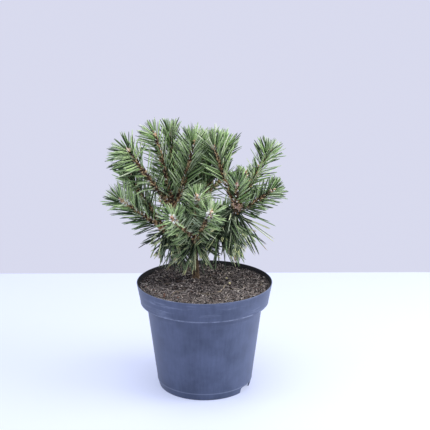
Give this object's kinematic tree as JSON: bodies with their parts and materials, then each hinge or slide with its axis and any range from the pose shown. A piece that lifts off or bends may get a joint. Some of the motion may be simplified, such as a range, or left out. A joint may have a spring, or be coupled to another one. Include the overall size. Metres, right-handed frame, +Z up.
{
  "type": "potted dwarf mountain pine",
  "caption": "Young dwarf mountain pine in a plain round nursery pot: short trunk, upswept boughs, brush-like needle shoots.",
  "frame": {"origin": "middle of the pot's flat underside, on the pot's axis, where the pot stands on the floor", "axes": "+Z up along the pot's axis, +X to the right and +Y away as seen from the front"},
  "size_m": [0.3002, 0.2553, 0.4558],
  "materials": {
    "pot_plastic": "satin moulded nursery plastic, dark slate blue-grey",
    "soil": "loose dark peat and bark mix",
    "bark": "rough grey-brown bark",
    "needles": "mid green needles, waxy sheen",
    "old_needles": "darker older needles with yellowish tips"
  },
  "bodies": {
    "root": {"pot": "pot_plastic", "soil": "soil", "trunk": "bark", "bough_front": "bark", "bough_left": "bark", "bough_right": "bark", "bough_middle": "bark", "bough_back": "bark", "bough_back_low": "bark", "shoot_left_high": "needles", "shoot_left_leader": "needles", "shoot_left_rear": "needles", "shoot_centre_high": "needles", "shoot_right_leader": "needles", "shoot_right_high": "needles", "shoot_right_front": "needles", "shoot_right_rear": "needles", "shoot_right_low": "needles", "shoot_front_left": "needles", "shoot_front_right": "needles", "shoot_front_upper": "needles", "shoot_left_low": "needles", "shoot_left_middle": "needles", "shoot_back_right": "needles", "shoot_back_leader": "needles", "shoot_back_rear": "needles", "shoot_back_low": "needles", "shoot_low_left": "needles", "shoot_low_right": "needles", "shoot_low_rear": "needles", "skirt_front": "old_needles", "skirt_left": "old_needles", "skirt_right": "old_needles", "skirt_middle": "old_needles", "skirt_back": "old_needles", "skirt_back_low": "old_needles"}
  },
  "joints": []
}
